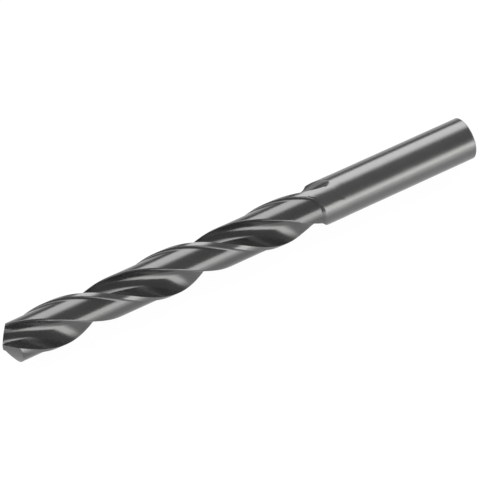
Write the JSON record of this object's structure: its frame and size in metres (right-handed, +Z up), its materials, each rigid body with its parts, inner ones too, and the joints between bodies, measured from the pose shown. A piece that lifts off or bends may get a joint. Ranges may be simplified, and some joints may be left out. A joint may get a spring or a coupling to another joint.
{
  "type": "twist drill bit",
  "caption": "Jobber-length twist drill with a plain round shank, two right-hand helical flutes, narrow margins, cleared lands and a conical ground point.",
  "frame": {"origin": "centre of the drill's box at the surface that it lies on", "axes": "+X along the drill's axis from the point to the shank end, +Z up"},
  "size_m": [0.151, 0.013, 0.013],
  "materials": {
    "drill_steel": "polished dark oxide"
  },
  "bodies": {
    "root": {"twist_drill": "drill_steel"}
  },
  "joints": []
}
